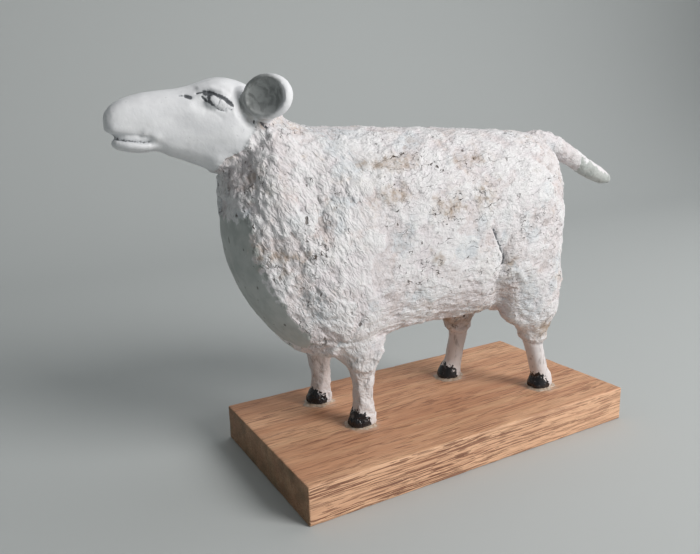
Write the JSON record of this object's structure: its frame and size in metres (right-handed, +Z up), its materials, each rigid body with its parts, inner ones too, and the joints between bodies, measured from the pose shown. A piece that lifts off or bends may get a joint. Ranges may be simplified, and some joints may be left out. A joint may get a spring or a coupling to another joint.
{
  "type": "papier-mache sheep figurine on a wooden plinth",
  "caption": "Standing painted papier-mache sheep with a rough fleece, smooth head and dark hooves, glued on a rectangular wooden plinth.",
  "frame": {"origin": "centre of the plinth's underside", "axes": "+X along the plinth's long side, from the head end to the tail end; +Y across the plinth, towards the sheep's right; +Z up"},
  "size_m": [0.265, 0.095, 0.1818],
  "materials": {
    "painted_pulp": "rough dry-brushed off-white paint on papier-mache, matte",
    "plinth_wood": "reddish-brown open-grain hardwood, sanded, unvarnished"
  },
  "bodies": {
    "root": {"sheep": "painted_pulp", "plinth": "plinth_wood"}
  },
  "joints": []
}
